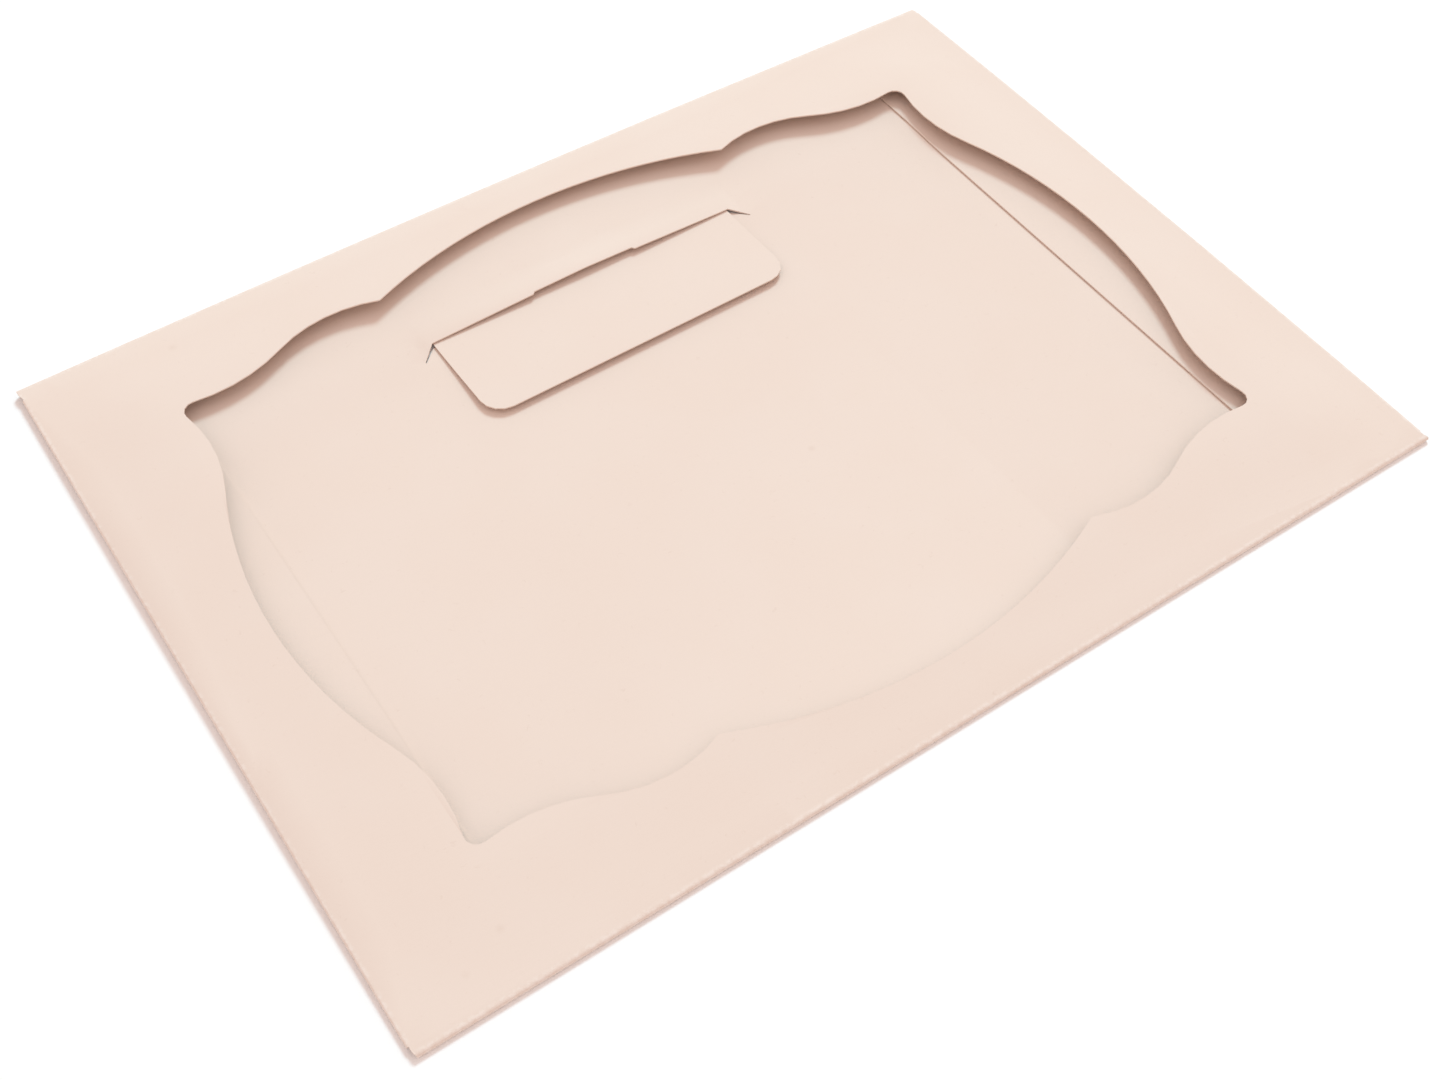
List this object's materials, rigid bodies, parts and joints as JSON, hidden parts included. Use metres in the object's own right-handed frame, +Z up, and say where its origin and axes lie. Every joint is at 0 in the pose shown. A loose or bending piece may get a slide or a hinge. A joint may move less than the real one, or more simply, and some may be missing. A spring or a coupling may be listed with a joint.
{
  "type": "photo folder",
  "caption": "Photo folder folded from one sheet of pale card, with a scalloped window and a tongue tucked through a slit.",
  "frame": {"origin": "on the resting face, under the middle of the front panel", "axes": "+X to the right along the long side, +Y from the front crease to the back crease, +Z up out of the window"},
  "size_m": [0.2221, 0.1623, 0.0043],
  "materials": {
    "card": "matt pale pinkish beige card"
  },
  "bodies": {
    "root": {"folded_card": "card"}
  },
  "joints": []
}
